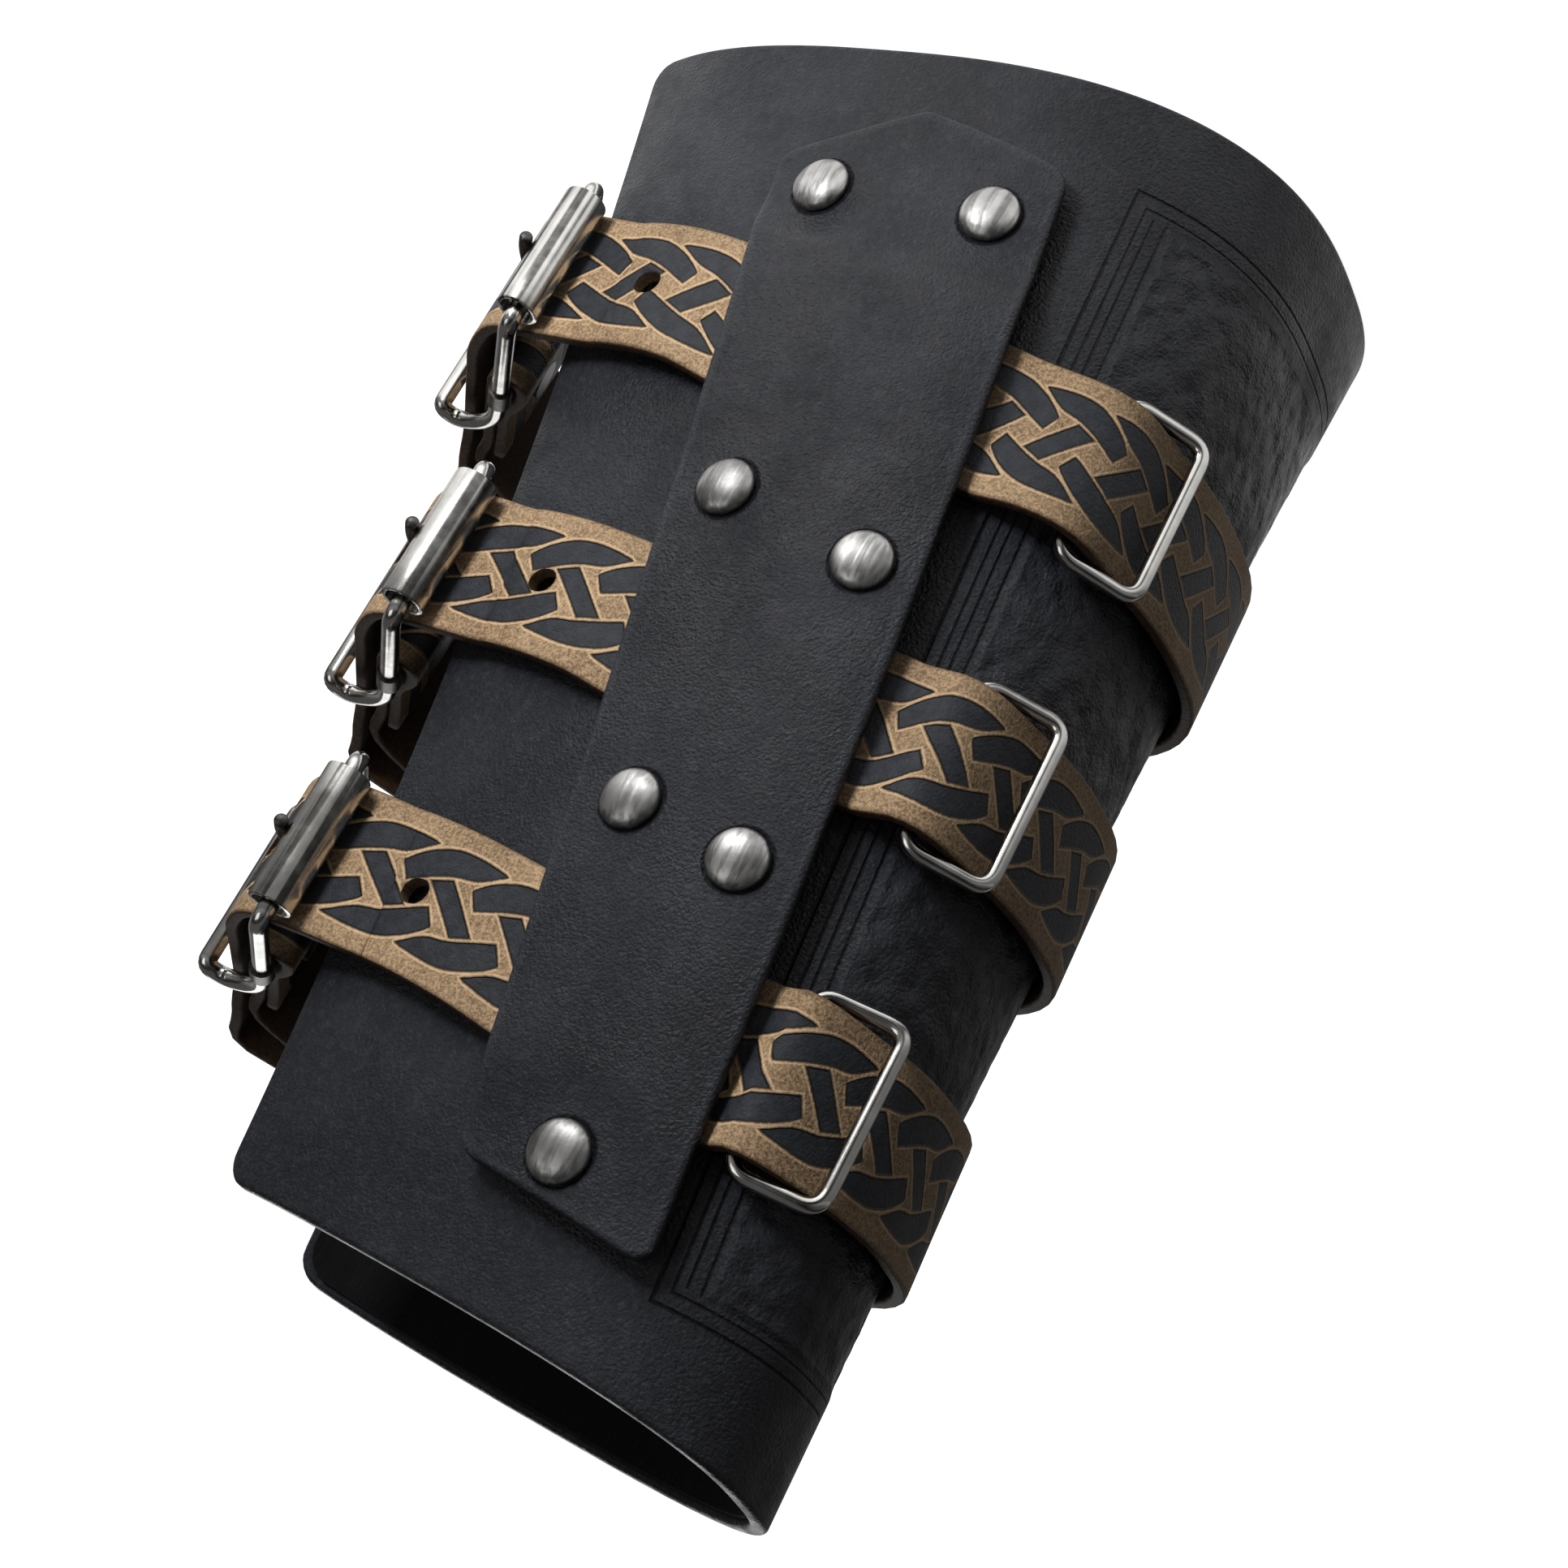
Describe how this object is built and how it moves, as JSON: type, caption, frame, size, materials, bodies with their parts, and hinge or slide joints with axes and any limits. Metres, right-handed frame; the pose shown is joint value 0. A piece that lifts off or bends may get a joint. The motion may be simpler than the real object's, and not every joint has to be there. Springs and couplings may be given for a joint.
{
  "type": "leather bracer",
  "caption": "Tapered leather forearm bracer with a riveted placket, tooled straps through rings, roller buckles and a suede lining.",
  "frame": {"origin": "below the middle of the whole part, on the plane of its flat wide rim", "axes": "+Z from the wide elbow end to the wrist end, -Y out of the front with the placket, +X towards the buckled opening"},
  "size_m": [0.1533, 0.0946, 0.2143],
  "materials": {
    "black_leather": "satin black grained leather with burnished edges",
    "black_suede": "matt black suede",
    "tooled_leather": "speckled tan brown leather with sunken dark knotwork",
    "brushed_nickel": "brushed nickel",
    "polished_nickel": "polished nickel",
    "dark_steel": "aged steel"
  },
  "bodies": {
    "bracer": {"body_shell": "black_leather", "suede_lining": "black_suede", "front_placket": "black_leather", "placket_rivet_caps": "brushed_nickel", "placket_rivet_posts": "brushed_nickel", "strap_1": "tooled_leather", "strap_2": "tooled_leather", "strap_3": "tooled_leather", "strap_fold_rivet_1": "dark_steel", "strap_fold_rivet_2": "dark_steel", "strap_fold_rivet_3": "dark_steel", "buckle_frame_1": "polished_nickel", "buckle_frame_2": "polished_nickel", "buckle_frame_3": "polished_nickel", "buckle_centre_bar_1": "polished_nickel", "buckle_centre_bar_2": "polished_nickel", "buckle_centre_bar_3": "polished_nickel"},
    "roller_1_body": {"buckle_roller_1": "polished_nickel"},
    "roller_2_body": {"buckle_roller_2": "polished_nickel"},
    "roller_3_body": {"buckle_roller_3": "polished_nickel"},
    "prong_1_body": {"buckle_prong_1": "polished_nickel"},
    "prong_2_body": {"buckle_prong_2": "polished_nickel"},
    "prong_3_body": {"buckle_prong_3": "polished_nickel"},
    "ring_1_body": {"keeper_ring_1": "polished_nickel"},
    "ring_2_body": {"keeper_ring_2": "polished_nickel"},
    "ring_3_body": {"keeper_ring_3": "polished_nickel"}
  },
  "joints": [
    {"name": "roller_spin_1", "type": "hinge", "parent": "bracer", "child": "roller_1_body", "pos_m": [0.03636, -0.04296, 0.04966], "axis": [0, 0, 1], "continuous": true},
    {"name": "prong_lift_1", "type": "hinge", "parent": "bracer", "child": "prong_1_body", "pos_m": [0.0509, -0.02141, 0.04966], "axis": [0, 0, 1], "range_deg": [0, 6]},
    {"name": "ring_tilt_1", "type": "hinge", "parent": "bracer", "child": "ring_1_body", "pos_m": [-0.06364, -0.02456, 0.06223], "axis": [-0.0325, -0.018, 0.9993], "range_deg": [0, 60]},
    {"name": "roller_spin_2", "type": "hinge", "parent": "bracer", "child": "roller_2_body", "pos_m": [0.02727, -0.03942, 0.10347], "axis": [0, 0, 1], "continuous": true},
    {"name": "prong_lift_2", "type": "hinge", "parent": "bracer", "child": "prong_2_body", "pos_m": [0.04181, -0.01786, 0.10347], "axis": [0, 0, 1], "range_deg": [0, 6]},
    {"name": "ring_tilt_2", "type": "hinge", "parent": "bracer", "child": "ring_2_body", "pos_m": [-0.06268, -0.02309, 0.11267], "axis": [-0.0477, -0.0408, 0.998], "range_deg": [0, 60]},
    {"name": "roller_spin_3", "type": "hinge", "parent": "bracer", "child": "roller_3_body", "pos_m": [0.02179, -0.03504, 0.15472], "axis": [0, 0, 1], "continuous": true},
    {"name": "prong_lift_3", "type": "hinge", "parent": "bracer", "child": "prong_3_body", "pos_m": [0.03633, -0.01348, 0.15472], "axis": [0, 0, 1], "range_deg": [0, 6]},
    {"name": "ring_tilt_3", "type": "hinge", "parent": "bracer", "child": "ring_3_body", "pos_m": [-0.06115, -0.02095, 0.16392], "axis": [-0.0338, -0.0406, 0.9986], "range_deg": [0, 60]}
  ]
}
